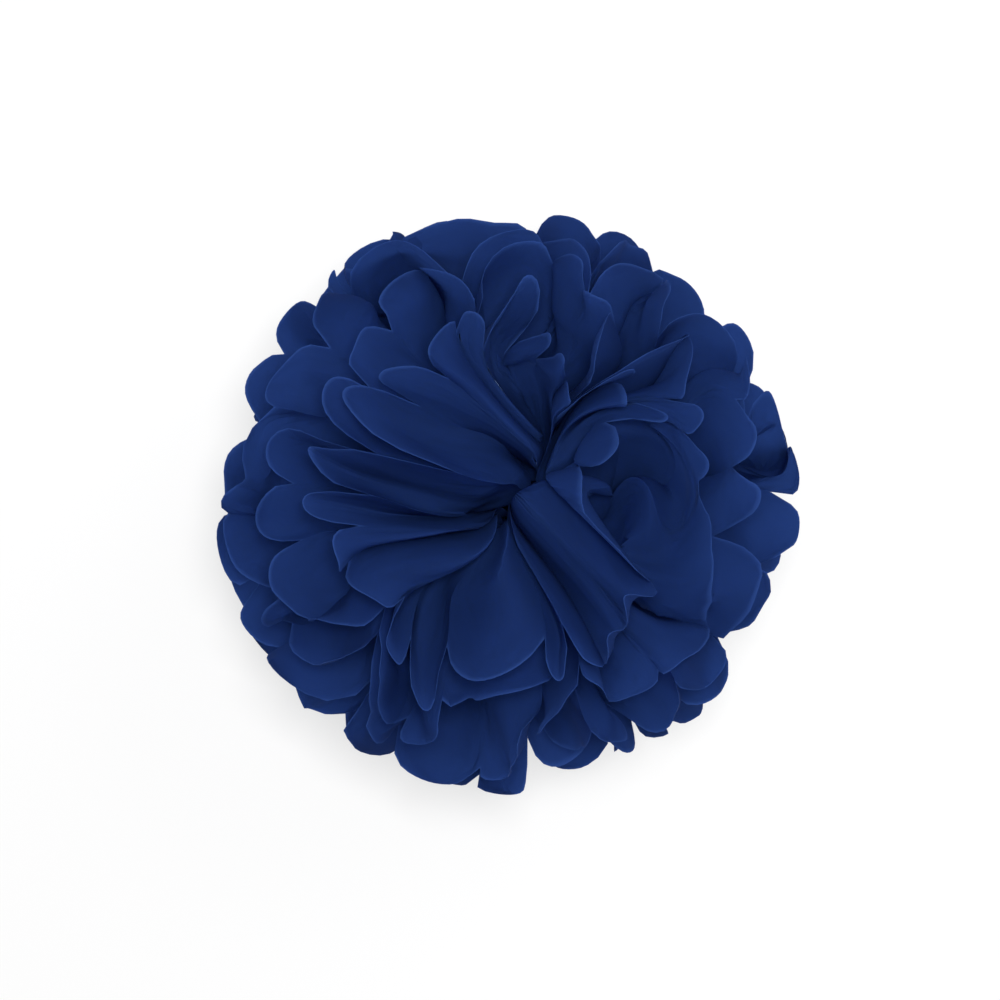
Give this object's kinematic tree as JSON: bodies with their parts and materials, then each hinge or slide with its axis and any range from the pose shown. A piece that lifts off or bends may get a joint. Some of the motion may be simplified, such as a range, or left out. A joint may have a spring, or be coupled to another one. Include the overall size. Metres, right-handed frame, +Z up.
{
  "type": "tissue paper pom pom",
  "caption": "Round party decoration of pleated tissue sheets, tied in the middle with wire and fluffed into a ball of rounded petals.",
  "frame": {"origin": "the middle of the tie, at the centre of the ball", "axes": "+Z up through the crown, +X along the folds of the tied strip, the seams between the fans towards +Y and -Y"},
  "size_m": [0.2427, 0.2426, 0.207],
  "materials": {
    "tissue": "thin dyed navy tissue paper, matt and slightly see-through, with soft pleats and round trimmed ends",
    "tie_wire": "thin bright florist's wire"
  },
  "bodies": {
    "root": {"sheet_1": "tissue", "sheet_2": "tissue", "sheet_3": "tissue", "sheet_4": "tissue", "sheet_5": "tissue", "sheet_6": "tissue", "sheet_7": "tissue", "sheet_8": "tissue", "wire_tie": "tie_wire"}
  },
  "joints": []
}
